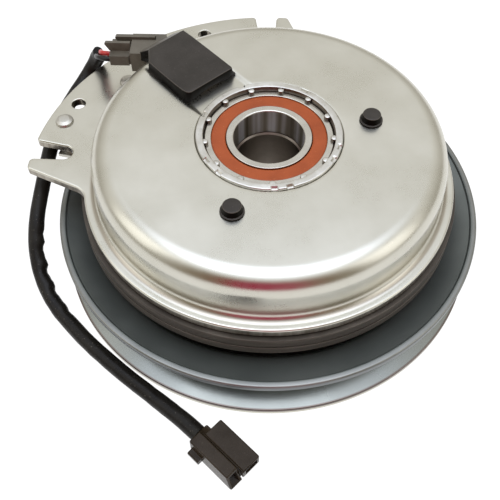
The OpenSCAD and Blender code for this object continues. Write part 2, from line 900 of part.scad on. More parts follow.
module pulley_lower_flange() {
    lip_r = lower_rim_r - rim_lip_w;
    cone_in_r = groove_r + 0.5;
    cone_in_z = 1.4 + cone_slope * (lip_r - 0.4 - cone_in_r);
    color("lightgray")
        difference() {
            rotate_extrude()
                polygon([[web_in_r, split_z], [groove_r, split_z], [groove_r, groove_low_z],
                    [lower_rim_r, groove_low_z - cone_slope * (lower_rim_r - groove_r)],
                    [lower_rim_r, 0.6], [lower_rim_r - 0.6, 0], [lip_r, 0],
                    [lip_r - 0.4, 1.4], [cone_in_r, cone_in_z],
                    [wall_in_r, cone_in_z + 3], [wall_in_r, web_bottom_z],
                    [web_in_r, web_bottom_z]]);
            rivet_holes();
        }
}

module pulley_rivets() {
    color("silver")
        for (i = [0 : rivet_count - 1])
            at(rivet_ring_r, i * 360 / rivet_count) {
                rod(rivet_r, web_bottom_z, hub_flange_top_z);
                rod(rivet_r + 2, hub_flange_top_z, hub_flange_top_z + 2);
                rod(rivet_r + 2, web_bottom_z - 2, web_bottom_z);
            }
}

// ---- Armature and its spring straps ----

module spring_rivets() {
    color("silver")
        for (angle = post_angles)
            at(strap_ring_r, angle) {
                rod(strap_rivet_r, strap_z - strap_rivet_depth, strap_z + strap_t);
                rod(strap_head_r, strap_z + strap_t, strap_z + strap_t + 2);
            }
}

module leaf_springs() {
    chord = 2 * strap_ring_r * sin(strap_turn / 2);
    color("slategray")
        for (angle = post_angles)
            at(strap_ring_r, angle) rotate([0, 0, 90 + strap_turn / 2])
                difference() {
                    union() {
                        span([0, -strap_w / 2, strap_z],
                            [chord, strap_w / 2, strap_z + strap_t]);
                        for (end = [0, chord])
                            translate([end, 0, 0])
                                rod(strap_w / 2, strap_z, strap_z + strap_t);
                    }
                    rod(strap_rivet_r, strap_z - past, strap_z + strap_t + past);
                    translate([chord, 0, 0])
                        rod(strap_hole_r, strap_z - past, strap_z + strap_t + past);
                }
}

module armature_plate() {
    color([0.38, 0.35, 0.32])
        difference() {
            ring(armature_in_r, armature_r, armature_z, armature_top_z);
            for (angle = post_angles) {
                at(strap_ring_r, angle)
                    rod(strap_head_hole_r, armature_z - past, armature_top_z + past);
                at(strap_ring_r, angle + strap_turn)
                    rod(strap_rivet_r, armature_z - past, armature_top_z + past);
            }
        }
}

module armature_rivets() {
    color("silver")
        for (angle = post_angles)
            at(strap_ring_r, angle + strap_turn) {
                rod(strap_rivet_r, strap_z, armature_top_z - 0.2);
                rod(strap_head_r, strap_z - 2, strap_z);
            }
}

field_shell();
bearing_carrier();
coil_bobbin();
coil_winding();
coil_potting();
locating_plugs();
terminal_housing();
terminal_cover();
field_terminals();
plug_housing();
plug_terminals();
plug_wire_red();
plug_wire_black();
harness_sleeve();
connector_housing();
connector_terminals();
bracket_rivets();
brake_spacers();
brake_shoe();
brake_magnets();
field_bearing_outer_ring();
field_bearing_upper_seal();
field_bearing_lower_seal();
field_bearing_cage();
field_bearing_balls();
field_bearing_inner_ring();
rotor_disc();
rotor_hub();
hub_snap_ring();
pulley_bearing_inner_ring();
pulley_bearing_cage();
pulley_bearing_balls();
pulley_bearing_outer_ring();
pulley_bearing_upper_seal();
pulley_bearing_lower_seal();
pulley_snap_ring();
pulley_hub();
pulley_upper_flange();
pulley_lower_flange();
pulley_rivets();
spring_rivets();
leaf_springs();
armature_plate();
armature_rivets();
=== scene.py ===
"""Looks of the electromagnetic clutch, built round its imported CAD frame.

Lengths are written in millimetres and become metres as meshes are made. Profiles
are (radius, height) pairs, and a third number rounds that corner.
"""
import json
import math

import bmesh
import bpy
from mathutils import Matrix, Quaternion, Vector, noise


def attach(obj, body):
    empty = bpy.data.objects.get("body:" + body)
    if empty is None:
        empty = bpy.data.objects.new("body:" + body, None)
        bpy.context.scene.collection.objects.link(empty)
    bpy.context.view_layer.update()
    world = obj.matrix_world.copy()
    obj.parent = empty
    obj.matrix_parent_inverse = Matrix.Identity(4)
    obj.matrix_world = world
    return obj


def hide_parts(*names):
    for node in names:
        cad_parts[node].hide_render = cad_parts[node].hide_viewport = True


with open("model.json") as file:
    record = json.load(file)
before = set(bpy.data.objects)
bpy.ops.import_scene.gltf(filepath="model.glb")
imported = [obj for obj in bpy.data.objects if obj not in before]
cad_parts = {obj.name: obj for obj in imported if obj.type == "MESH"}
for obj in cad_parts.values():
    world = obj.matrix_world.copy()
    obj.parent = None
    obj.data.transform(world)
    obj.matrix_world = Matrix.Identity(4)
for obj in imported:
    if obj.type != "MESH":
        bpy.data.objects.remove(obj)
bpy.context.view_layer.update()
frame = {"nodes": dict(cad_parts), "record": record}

MM = 0.001
TAU = 2 * math.pi


CAMERA_PLACE = (0, -218.7, 291.9)
CAMERA_TARGET = (-6.8, -40.0, 40.0)
CAMERA_ROLL = math.radians(-0.3)


def put_camera():
    place, target = Vector(CAMERA_PLACE) * MM, Vector(CAMERA_TARGET) * MM
    data = bpy.data.cameras.new("camera")
    data.lens = 52.9
    data.sensor_width = 36
    camera = bpy.data.objects.new("camera", data)
    camera.location = place
    camera.rotation_mode = "QUATERNION"
    aim = (target - place).to_track_quat("-Z", "Y")
    camera.rotation_quaternion = aim @ Quaternion((0, 0, 1), CAMERA_ROLL)
    bpy.context.collection.objects.link(camera)
    bpy.context.scene.camera = camera


# ---- Outlines ----


def arc(centre, radius, start, end, step=6):
    """Points on an arc, in degrees, both ends included."""
    count = max(2, round(abs(end - start) / step) + 1)
    points = []
    for i in range(count):
        a = math.radians(start + (end - start) * i / (count - 1))
        points.append((centre[0] + radius * math.cos(a), centre[1] + radius * math.sin(a)))
    return points


def polar(radius, angle):
    """The point at a radius and an angle in degrees."""
    a = math.radians(angle)
    return (radius * math.cos(a), radius * math.sin(a))


def rounded(points, closed=True, steps=5):
    """The outline with an arc at each corner that has a third number, its radius."""
    result = []
    last = len(points) - 1
    for i, point in enumerate(points):
        corner = Vector(point[:2])
        radius = point[2] if len(point) > 2 else 0
        if radius == 0 or (not closed and i in (0, last)):
            result.append(tuple(corner))
            continue
        before = (Vector(points[i - 1][:2]) - corner).normalized()
        after = (Vector(points[(i + 1) % len(points)][:2]) - corner).normalized()
        half = before.angle(after) / 2
        centre = corner + (before + after).normalized() * radius / math.sin(half)
        start = corner + before * radius / math.tan(half) - centre
        end = corner + after * radius / math.tan(half) - centre
        turn = start.angle_signed(end)
        for k in range(steps + 1):
            a = -turn * k / steps
            spun = Vector((start.x * math.cos(a) - start.y * math.sin(a),
                           start.x * math.sin(a) + start.y * math.cos(a)))
            result.append(tuple(centre + spun))
    return result


# ---- Meshes ----


def finish_mesh(name, bm, body, material, stands_for=(), slot=None, sharp=35):
    """Makes the bmesh an object in metres, shades it and says what it rides on."""
    bmesh.ops.remove_doubles(bm, verts=bm.verts, dist=0.002)
    bmesh.ops.recalc_face_normals(bm, faces=bm.faces)
    bmesh.ops.scale(bm, vec=(MM, MM, MM), verts=bm.verts)
    mesh = bpy.data.meshes.new(name)
    bm.to_mesh(mesh)
    bm.free()
    mesh.shade_smooth()
    mesh.set_sharp_from_angle(angle=math.radians(sharp))
    mesh.materials.append(material)
    piece = bpy.data.objects.new(name, mesh)
    bpy.context.collection.objects.link(piece)
    weighted = piece.modifiers.new("flat faces stay flat", "WEIGHTED_NORMAL")
    weighted.keep_sharp = True
    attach(piece, body)
    if stands_for:
        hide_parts(*stands_for)
    return piece


def add_lathe(bm, profile, segments=192, closed=True, centre=(0, 0), change=None):
    """Turns a profile round the vertical axis at centre. change may move a point."""
    rings = []
    for radius, height in profile:
        if radius < 1e-6:
            rings.append([bm.verts.new((centre[0], centre[1], height))])
            continue
        ring = []
        for k in range(segments):
            a = TAU * k / segments
            r, z = change(radius, height, a) if change else (radius, height)
            ring.append(bm.verts.new((centre[0] + r * math.cos(a),
                                      centre[1] + r * math.sin(a), z)))
        rings.append(ring)
    pairs = list(zip(rings, rings[1:]))
    if closed:
        pairs.append((rings[-1], rings[0]))
    for low, high in pairs:
        for k in range(segments):
            n = (k + 1) % segments
            corners = [low[k % len(low)], low[n % len(low)],
                       high[n % len(high)], high[k % len(high)]]
            kept = list(dict.fromkeys(corners))
            if len(kept) > 2:
                bm.faces.new(kept)
    return rings


def lathe(name, profile, body, material, segments=192, **rest):
    bm = bmesh.new()
    add_lathe(bm, rounded(profile), segments)
    return finish_mesh(name, bm, body, material, **rest)


def inset(outline, distance):
    """The outline moved towards its inside; it runs anticlockwise."""
    count = len(outline)
    result = []
    for i in range(count):
        before, after = Vector(outline[i - 1]), Vector(outline[(i + 1) % count])
        along = (after - before).normalized()
        result.append((outline[i][0] - along.y * distance, outline[i][1] + along.x * distance))
    return result


def loop_of(bm, outline, height):
    return [bm.verts.new((x, y, height)) for x, y in outline]


def wall_between(bm, low, high):
    for k in range(len(low)):
        n = (k + 1) % len(low)
        bm.faces.new((low[k], low[n], high[n], high[k]))


def edges_of(bm, ring):
    pairs = [(ring[k], ring[(k + 1) % len(ring)]) for k in range(len(ring))]
    return [bm.edges.get(pair) or bm.edges.new(pair) for pair in pairs]


def add_wall(bm, outline, low, high, low_round, high_round, outward=1, steps=4):
    """The side of a plate with rounded edges; returns its lowest and highest loops."""
    levels = [(low_round * (1 - math.sin(a)), low + low_round * (1 - math.cos(a)))
              for a in [math.pi / 2 * k / steps for k in range(steps + 1)]]
    levels += [(high_round * (1 - math.cos(a)), high - high_round * (1 - math.sin(a)))
               for a in [math.pi / 2 * k / steps for k in range(steps + 1)]]
    loops = [loop_of(bm, inset(outline, outward * d), z) for d, z in levels]
    for one, two in zip(loops, loops[1:]):
        wall_between(bm, one, two)
    return loops[0], loops[-1]


def fill(bm, rings, up):
    edges = [edge for ring in rings for edge in edges_of(bm, ring)]
    bmesh.ops.triangle_fill(bm, use_beauty=True, edges=edges, normal=(0, 0, up))


def circle(radius, centre=(0, 0), segments=48):
    return [(centre[0] + radius * math.cos(TAU * k / segments),
             centre[1] + radius * math.sin(TAU * k / segments)) for k in range(segments)]


def plate(name, outline, holes, low, high, body, material, edge=0.4, **rest):
    """A flat plate with holes, rounded a little along every edge."""
    bm = bmesh.new()
    loops = [add_wall(bm, outline, low, high, edge, edge)]
    loops += [add_wall(bm, hole, low, high, edge, edge, -1) for hole in holes]
    fill(bm, [pair[0] for pair in loops], -1)
    fill(bm, [pair[1] for pair in loops], 1)
    return finish_mesh(name, bm, body, material, **rest)


def refine(name, node, body, material, shortest, bevel=0.3, clamp=True, **rest):
    """A copy of a CAD node with its flat faces joined and its longer edges rounded."""
    bm = bmesh.new()
    bm.from_mesh(frame["nodes"][node].data)
    bmesh.ops.scale(bm, vec=(1 / MM,) * 3, verts=bm.verts)
    bmesh.ops.remove_doubles(bm, verts=bm.verts, dist=0.001)
    bmesh.ops.dissolve_limit(bm, angle_limit=math.radians(0.5), verts=bm.verts,
                             edges=bm.edges)
    chosen = [e for e in bm.edges if len(e.link_faces) == 2 and e.calc_length() > shortest
              and e.calc_face_angle(0) > math.radians(30)]
    bmesh.ops.bevel(bm, geom=chosen, offset=bevel, segments=3, profile=0.5, affect="EDGES",
                    clamp_overlap=clamp)
    return finish_mesh(name, bm, body, material, stands_for=[node], **rest)


# ---- Materials ----


class Look:
    """A procedural material; its methods add nodes and return their sockets."""

    def __init__(self, name, colour=None, metallic=0.0, roughness=0.5, **settings):
        self.material = bpy.data.materials.new(name)
        self.material.use_nodes = True
        self.tree = self.material.node_tree
        self.shader = self.tree.nodes["Principled BSDF"]
        self.set("Metallic", metallic)
        self.set("Roughness", roughness)
        if colour:
            self.set("Base Color", (*colour, 1))
        for key, value in settings.items():
            self.set(key.replace("_", " "), value)
        self.place = self.tree.nodes.new("ShaderNodeTexCoord").outputs["Object"]
        self.normal = None

    def set(self, key, value):
        target = self.shader.inputs[key]
        if isinstance(value, bpy.types.NodeSocket):
            self.tree.links.new(value, target)
        else:
            target.default_value = value

    def node(self, kind, inputs=None, out=0, **settings):
        made = self.tree.nodes.new("ShaderNode" + kind)
        for key, value in settings.items():
            setattr(made, key, value)
        for key, value in (inputs or {}).items():
            target = made.inputs[key]
            if isinstance(value, bpy.types.NodeSocket):
                self.tree.links.new(value, target)
            else:
                target.default_value = value
        return made.outputs[out]

    def math(self, operation, one, two=0.0):
        return self.node("Math", {0: one, 1: two}, operation=operation)

    def stretched(self, scale=(1, 1, 1), turn=(0, 0, 0)):
        return self.node("Mapping", {"Vector": self.place, "Scale": scale, "Rotation": turn})

    def noise(self, scale, detail=3.0, rough=0.5, vector=None):
        return self.node("TexNoise", {"Vector": vector or self.place, "Scale": scale,
                                      "Detail": detail, "Roughness": rough})

    def ramp(self, value, stops):
        made = self.tree.nodes.new("ShaderNodeValToRGB")
        self.tree.links.new(value, made.inputs[0])
        elements = made.color_ramp.elements
        while len(elements) < len(stops):
            elements.new(0.5)
        for element, (at, colour) in zip(elements, stops):
            element.position = at
            element.color = (*colour, 1)
        return made.outputs[0]

    def mix(self, factor, one, two):
        made = self.tree.nodes.new("ShaderNodeMix")
        made.data_type = "RGBA"
        for key, value in ((0, factor), (6, one), (7, two)):
            if isinstance(value, bpy.types.NodeSocket):
                self.tree.links.new(value, made.inputs[key])
            else:
                made.inputs[key].default_value = (
                    (*value, 1) if isinstance(value, tuple) else value)
        return made.outputs[2]

    def span(self, value, low, high, to_low=0.0, to_high=1.0):
        return self.node("MapRange", {"Value": value, 1: low, 2: high, 3: to_low, 4: to_high})

    def bump(self, height, strength, distance=0.0001):
        inputs = {"Height": height, "Strength": strength, "Distance": distance}
        if self.normal:
            inputs["Normal"] = self.normal
        self.normal = self.node("Bump", inputs)
        self.set("Normal", self.normal)

    def axes(self):
        made = self.tree.nodes.new("ShaderNodeSeparateXYZ")
        self.tree.links.new(self.place, made.inputs[0])
        return made.outputs

    def radius(self):
        x, y, _ = self.axes()
        return self.math("SQRT", self.math("ADD", self.math("MULTIPLY", x, x),
                                           self.math("MULTIPLY", y, y)))

    def steepness(self, low=0.35, high=0.6):
        """1 on upright faces and 0 on level ones."""
        geometry = self.tree.nodes.new("ShaderNodeNewGeometry").outputs["True Normal"]
        up = self.node("SeparateXYZ", {0: geometry}, 2)
        return self.span(self.math("ABSOLUTE", up), low, high, 1.0, 0.0)

    def turned(self, lines, strength, distance):
        """Fine turning lines round the vertical axis."""
        rings = self.node("CombineXYZ", {0: self.radius(), 2: self.axes()[2]})
        self.bump(self.noise(lines, 2.0, vector=rings), strength, distance)


def zinc_look():
    look = Look("zinc plating", metallic=1.0)
    clouds = look.noise(38, 4.0, 0.55)
    fine = look.noise(900, 3.0, 0.6)
    base = look.ramp(clouds, [(0.3, (0.56, 0.545, 0.475)), (0.7, (0.64, 0.625, 0.555))])
    edge = look.steepness()
    grain = look.noise(420, 4.0, 0.65, look.stretched((1, 1, 0.04)))
    radius, height = look.radius(), look.axes()[2]
    # The sheared edge: bright above, grey and torn below, and that lower band is also painted
    # darker, a painted shade standing in for the dark it reflects
    torn_edge_and_painted_shade = look.math("MULTIPLY", look.math("MULTIPLY", edge, look.span(radius, 0.0808, 0.0812)),
                     look.span(height, 0.0444, 0.0448, 1.0, 0.0))
    base = look.mix(torn_edge_and_painted_shade, base, look.ramp(grain, [(0.35, (0.20, 0.175, 0.14)),
                                                  (0.65, (0.38, 0.35, 0.30))]))
    # Painted shade: a darker brown band in the hollow above the flange, where the skirt meets it
    painted_crease_shade = look.math("MULTIPLY", look.span(height, 0.0455, 0.0457),
                       look.span(height, 0.0461, 0.0465, 1.0, 0.0))
    base = look.mix(look.math("MULTIPLY", painted_crease_shade, 0.55), base, (0.26, 0.21, 0.16))
    look.set("Base Color", base)
    rough = look.span(clouds, 0.3, 0.7, 0.23, 0.30)
    look.set("Roughness", look.math("ADD", rough, look.math("MULTIPLY", fine, 0.06)))
    look.bump(look.noise(16, 2.0), 0.10, 0.0006)
    look.bump(fine, 0.07, 0.00004)
    look.bump(look.math("MULTIPLY", grain, edge), 0.25, 0.00015)
    return look.material


def machined_look():
    look = Look("machined steel", metallic=1.0)
    clouds = look.noise(120, 4.0, 0.6)
    base = look.ramp(clouds, [(0.3, (0.52, 0.50, 0.45)), (0.7, (0.70, 0.69, 0.65))])
    stain = look.span(look.noise(260, 5.0, 0.7), 0.6, 0.7)
    base = look.mix(look.math("MULTIPLY", stain, 0.45), base, (0.22, 0.19, 0.15))
    # Painted shade: the wall and groove next to the bearing are darkened, where deep shadow falls
    painted_recess_shade = look.math("MULTIPLY", look.span(look.radius(), 0.0282, 0.0285, 1.0, 0.0),
                     look.span(look.axes()[2], 0.0690, 0.0692, 1.0, 0.0))
    painted_recess_shade = look.math("MULTIPLY", painted_recess_shade, look.steepness())
    look.set("Base Color", look.mix(look.math("MULTIPLY", painted_recess_shade, 0.85), base,
                                    (0.11, 0.085, 0.065)))
    look.set("Roughness", look.span(clouds, 0.3, 0.7, 0.26, 0.42))
    look.turned(5000, 0.12, 0.00005)
    look.bump(look.noise(700, 3.0), 0.12, 0.00008)
    return look.material


def pulley_look():
    """Spun and plated: dark in the dish, paler in the groove and on the rim, cream lowest, with
    painted shade on the lower flange above the cream edge.
    """
    look = Look("spun pulley steel")
    radius, height = look.radius(), look.axes()[2]
    rim = look.math("MAXIMUM",
                    look.math("MULTIPLY", look.span(radius, 0.0938, 0.0945),
                              look.span(height, 0.021, 0.022)),
                    look.span(radius, 0.0950, 0.0955))
    clouds = look.noise(30, 3.0, 0.5)
    dish = look.ramp(clouds, [(0.3, (0.11, 0.122, 0.112)), (0.7, (0.155, 0.167, 0.152))])
    bright = look.ramp(clouds, [(0.3, (0.17, 0.172, 0.16)), (0.7, (0.28, 0.283, 0.265))])
    bright = look.mix(look.steepness(), bright, (0.17, 0.18, 0.185))
    # The lowest edge is cream; above it the lower flange is painted darker, a painted shade
    # standing in for the shaded ground it reflects
    low = look.mix(look.span(height, 0.0020, 0.0025), (0.56, 0.54, 0.46), (0.15, 0.125, 0.11))
    bright = look.mix(look.span(height, 0.005, 0.007, 1.0, 0.0), bright, low)
    groove = look.span(height, 0.0178, 0.0182, 1.0, 0.0)
    dish = look.mix(groove, dish, (0.245, 0.255, 0.235))
    look.set("Base Color", look.mix(rim, dish, bright))
    polish = look.math("MAXIMUM", rim, groove)
    look.set("Metallic", look.span(polish, 0.0, 1.0, 0.6, 1.0))
    rough = look.span(clouds, 0.3, 0.7, 0.32, 0.42)
    look.set("Roughness", look.math("SUBTRACT", rough, look.math("MULTIPLY", groove, 0.12)))
    look.turned(2600, 0.10, 0.00006)
    look.bump(look.noise(900, 3.0), 0.08, 0.00005)
    return look.material


def friction_look():
    look = Look("friction iron", metallic=0.55)
    rings = look.noise(300, 4.0, 0.65, look.stretched((0.12, 0.12, 3.0)))
    grain = look.noise(1300, 4.0, 0.7)
    base = look.ramp(rings, [(0.3, (0.048, 0.039, 0.030)), (0.55, (0.080, 0.067, 0.052)),
                             (0.75, (0.15, 0.128, 0.104))])
    look.set("Base Color", look.mix(look.math("MULTIPLY", grain, 0.35), base,
                                    (0.05, 0.042, 0.034)))
    look.set("Roughness", look.span(grain, 0.3, 0.7, 0.38, 0.55))
    look.bump(rings, 0.25, 0.0001)
    look.bump(grain, 0.2, 0.00006)
    return look.material


def steel_look(name, colour, roughness, spread=0.08, lines=6000):
    look = Look(name, metallic=1.0)
    clouds = look.noise(150, 4.0, 0.6)
    dark = tuple(c * 0.8 for c in colour)
    look.set("Base Color", look.ramp(clouds, [(0.3, dark), (0.7, colour)]))
    look.set("Roughness", look.span(clouds, 0.3, 0.7, roughness, roughness + spread))
    look.turned(lines, 0.07, 0.00004)
    look.bump(look.noise(1100, 3.0), 0.06, 0.00005)
    return look.material


def bearing_look():
    """Ground steel, with painted reflections: light and dark streaks down the bore."""
    look = Look("ground bearing steel", metallic=1.0)
    clouds = look.noise(150, 4.0, 0.6)
    base = look.ramp(clouds, [(0.3, (0.50, 0.48, 0.43)), (0.7, (0.60, 0.58, 0.53))])
    # Painted reflection: light and dark streaks on the bore's wall
    painted_bore_streaks = look.ramp(look.noise(95, 3.0, 0.6, look.stretched((1, 1, 0.02))),
                        [(0.42, (0.18, 0.15, 0.11)), (0.5, (0.40, 0.36, 0.30)),
                         (0.6, (0.85, 0.84, 0.86))])
    bore = look.math("MULTIPLY", look.span(look.radius(), 0.0151, 0.0153, 1.0, 0.0),
                     look.steepness())
    look.set("Base Color", look.mix(bore, base, painted_bore_streaks))
    look.set("Roughness", look.span(bore, 0.0, 1.0, 0.24, 0.5))
    look.turned(6000, 0.07, 0.00004)
    return look.material


def seal_look():
    look = Look("orange seal rubber", roughness=0.5, Specular_IOR_Level=0.3)
    fine = look.noise(1300, 4.0, 0.7)
    base = look.ramp(look.noise(90, 4.0, 0.6), [(0.3, (0.29, 0.056, 0.011)),
                                                (0.7, (0.37, 0.076, 0.017))])
    specks = look.span(fine, 0.62, 0.72)
    look.set("Base Color", look.mix(look.math("MULTIPLY", specks, 0.5), base,
                                    (0.62, 0.22, 0.09)))
    look.set("Roughness", look.span(fine, 0.3, 0.7, 0.42, 0.58))
    look.bump(fine, 0.35, 0.00008)
    return look.material


def plastic_look(name, colour, roughness, bump=0.12, scale=900, dust=0.25, shine=0.5,
                 side_shade=0.0):
    look = Look(name)
    fine = look.noise(scale, 4.0, 0.65)
    clouds = look.noise(70, 4.0, 0.6)
    light = tuple(min(1, c * 1.5 + 0.01) for c in colour)
    base = look.ramp(clouds, [(0.35, colour), (0.75, light)])
    specks = look.math("MULTIPLY", look.span(look.noise(1700, 2.0, 0.6), 0.66, 0.74), dust)
    base = look.mix(specks, base, (0.30, 0.28, 0.25))
    steep = look.steepness()
    # Painted light: faces sloping at a middle angle, such as the cover's sloped end, are painted
    # a lighter taupe, scaled by side_shade
    painted_slope_light = look.math("SUBTRACT", look.steepness(0.80, 0.84), steep)
    base = look.mix(look.math("MULTIPLY", painted_slope_light, side_shade), base, (0.085, 0.073, 0.058))
    # Painted shade: upright sides are painted black and lose their shine, scaled by side_shade
    sides = look.math("MULTIPLY", steep, side_shade)
    look.set("Base Color", look.mix(sides, base, (0.0, 0.0, 0.0)))
    look.set("Specular IOR Level", look.span(sides, 0.0, 1.0, shine, 0.0))
    look.set("Roughness", look.span(fine, 0.3, 0.7, roughness - 0.06, roughness + 0.08))
    look.bump(fine, bump, 0.00008)
    look.bump(look.noise(60, 2.0), 0.12, 0.0004)
    return look.material


def sleeve_look():
    look = Look("vinyl sleeve", roughness=0.34, Specular_IOR_Level=0.16)
    fine = look.noise(700, 4.0, 0.6)
    clouds = look.noise(120, 4.0, 0.6)
    base = look.ramp(clouds, [(0.35, (0.007, 0.006, 0.005)), (0.75, (0.018, 0.016, 0.012))])
    specks = look.span(look.noise(1200, 2.0, 0.6), 0.67, 0.73)
    look.set("Base Color", look.mix(look.math("MULTIPLY", specks, 0.5), base,
                                    (0.16, 0.14, 0.11)))
    look.set("Roughness", look.span(clouds, 0.3, 0.7, 0.28, 0.44))
    look.bump(look.noise(170, 3.0, 0.5), 0.20, 0.0004)
    weave = look.noise(2400, 2.0, 0.5, look.stretched((1, 0.3, 1), (0, 0, -0.7)))
    look.bump(weave, 0.25, 0.00012)
    look.bump(fine, 0.20, 0.0001)
    return look.material


def copper_look():
    look = Look("enamelled copper", metallic=0.9, roughness=0.3)
    turns = look.node("TexWave", {"Vector": look.place, "Scale": 320.0},
                      bands_direction="Z")
    look.set("Base Color", look.ramp(turns, [(0.2, (0.20, 0.07, 0.025)),
                                             (0.7, (0.50, 0.20, 0.08))]))
    look.bump(turns, 0.6, 0.0003)
    return look.material


MATERIALS = {
    "zinc_shell": zinc_look(),
    "machined_steel": machined_look(),
    "plated_steel": pulley_look(),
    "friction_iron": friction_look(),
    "hub_steel": steel_look("dark hub steel", (0.24, 0.21, 0.18), 0.3),
    "bearing_steel": bearing_look(),
    "cage_steel": steel_look("pressed cage steel", (0.45, 0.43, 0.38), 0.3),
    "seal_rubber": seal_look(),
    "spring_steel": steel_look("spring steel", (0.30, 0.30, 0.31), 0.28),
    "rivet_steel": steel_look("bright rivet steel", (0.60, 0.58, 0.52), 0.4),
    "magnet": steel_look("sintered magnet", (0.06, 0.06, 0.065), 0.5),
    "copper_wire": copper_look(),
    "bobbin_nylon": plastic_look("natural nylon", (0.50, 0.44, 0.30), 0.45),
    "potting_resin": plastic_look("potting resin", (0.03, 0.03, 0.03), 0.35),
    "cover_nylon": plastic_look("satin black nylon", (0.018, 0.014, 0.010), 0.36, 0.25,
                                700, 0.15, 0.35, 0.85),
    "plug_nylon": plastic_look("olive grey nylon", (0.085, 0.074, 0.054), 0.42, 0.2, 700),
    "connector_nylon": plastic_look("connector nylon", (0.022, 0.015, 0.008), 0.24, 0.12,
                                    dust=0.08, shine=0.12),
    "tin_plate": steel_look("tin plate", (0.70, 0.69, 0.66), 0.24),
    "red_insulation": plastic_look("red insulation", (0.40, 0.02, 0.018), 0.3),
    "black_insulation": plastic_look("black insulation", (0.008, 0.008, 0.008), 0.3,
                                     shine=0.3),
    "sleeve_vinyl": sleeve_look(),
}


def smoothstep(value, low, high):
    """0 up to low, 1 from high on, and a soft step between them."""
    t = min(1.0, max(0.0, (value - low) / (high - low)))
    return t * t * (3 - 2 * t)


# ---- Harness ----

SLEEVE_R = 3.6
WIRE_R = 1.2
# Half the range over which the sleeve's radius wanders, all of it inside SLEEVE_R
SLEEVE_WANDER = 0.12
SLEEVE_ROUTE = [
    (-84.5, 66.5, 53), (-86.7, 68.3, 49), (-89, 68.5, 45), (-91.5, 66.7, 41.6),
    (-94.2, 63.2, 38.8), (-97, 58.2, 36.8), (-99.6, 52, 35.5), (-102, 44, 34.6),
    (-103.5, 35, 34), (-104.5, 25, 33.2), (-105, 13, 31.5), (-105.5, 0, 28.5),
    (-106.5, -12, 23.5), (-106.5, -22.5, 17), (-104.5, -32, 10.8), (-100, -41.5, 6.6),
    (-93.5, -50.5, 4.4), (-85.5, -58.8, 3.7), (-77, -67, 3.7), (-67.5, -75, 3.7),
    (-58, -82.5, 3.7), (-48.5, -89.5, 3.8), (-40, -96, 4.6), (-32, -102.3, 5.6),
    (-25, -108.5, 6.5)]
RED_ROUTE = [(-76.3, 58, 60.5), (-78.8, 58.4, 60.4), (-81.2, 60.2, 59.2),
             (-82.6, 63.2, 57.2), (-83.3, 66, 54.8), (-84.1, 67.8, 52)]
BLACK_ROUTE = [(-76.3, 54.6, 60.3), (-79.2, 55, 60.2), (-82.2, 57, 59),
               (-84.2, 60.2, 57), (-85, 63.4, 54.8), (-85.7, 65.8, 52)]


def smooth_route(points, steps=6):
    """A smooth line through the points, in millimetres."""
    route = [Vector(p) for p in points]
    ends = [2 * route[0] - route[1]] + route + [2 * route[-1] - route[-2]]
    line = []
    for i in range(1, len(ends) - 2):
        a, b, c, d = ends[i - 1:i + 3]
        for k in range(steps):
            t = k / steps
            line.append(0.5 * (2 * b + (c - a) * t + (2 * a - 5 * b + 4 * c - d) * t * t
                               + (3 * b - a - 3 * c + d) * t ** 3))
    return line + [route[-1]]


def add_tube(bm, line, sides, section):
    """Sweeps a section along the line. section(run, direction) gives the radius there."""
    run = 0.0
    rings = []
    side = None
    for i, point in enumerate(line):
        along = (line[min(i + 1, len(line) - 1)] - line[max(i - 1, 0)]).normalized()
        if side is None:
            side = along.cross(Vector((0, 0, 1))).normalized()
        side = (side - along * side.dot(along)).normalized()
        up = side.cross(along)
        if i:
            run += (point - line[i - 1]).length
        ring = []
        for k in range(sides):
            a = TAU * k / sides
            direction = side * math.cos(a) + up * math.sin(a)
            ring.append(bm.verts.new(point + direction * section(run, direction)))
        rings.append(ring)
    for low, high in zip(rings, rings[1:]):
        wall_between(bm, low, high)
    bm.faces.new(rings[0])
    bm.faces.new(rings[-1][::-1])


# Places along the sleeve where its inner side folds, and how high the folds stand
FOLDS = [(104, 0.5), (110.5, 0.9), (122, 1.0), (133, 0.8), (146, 0.5)]


def sleeve_section(run, direction):
    """Round, with folds on the side towards the pulley, and flattened at the connector."""
    inner = max(0.0, direction.dot(Vector((0.85, 0.35, 0.4)).normalized()))
    wander = noise.noise(Vector((run * 0.25, 0, 0)) + direction * 1.4)
    radius = SLEEVE_R - SLEEVE_WANDER + SLEEVE_WANDER * wander
    for place, height in FOLDS:
        offset = (run - place) / 2.0
        radius += inner ** 1.5 * height * (math.exp(-offset * offset)
                                           - 0.9 * math.exp(-(offset - 1.7) ** 2))
    end = 1 - smoothstep(run, 1, 13)
    wide = direction.dot(Vector((0.64, -0.77, 0))) ** 2
    radius *= 1 + end * (0.36 * wide - 0.24 * (1 - wide))
    flat = min(1.0, max(0.0, (run - 205) / 25))
    return radius * (1 + 0.05 * flat * (1 - 2.2 * direction.z ** 2))


def build_harness():
    line = smooth_route(SLEEVE_ROUTE)
    bm = bmesh.new()
    add_tube(bm, line, 28, sleeve_section)
    sleeve = finish_mesh("sleeve", bm, "field", MATERIALS["sleeve_vinyl"],
                         stands_for=["harness_sleeve"], slot="sleeve_vinyl", sharp=60)
    for colour, route in (("red", RED_ROUTE), ("black", BLACK_ROUTE)):
        slot = f"{colour}_insulation"
        bm = bmesh.new()
        add_tube(bm, smooth_route(route), 16, lambda run, direction: WIRE_R)
        finish_mesh(f"{colour}_wire", bm, "field", MATERIALS[slot], slot=slot,
                    stands_for=[f"plug_wire_{colour}"])
    connector = refine("end_connector", "connector_housing", "field",
                       MATERIALS["connector_nylon"], bevel=0.7, shortest=5.5, clamp=False,
                       slot="connector_nylon")


# ---- Field shell ----

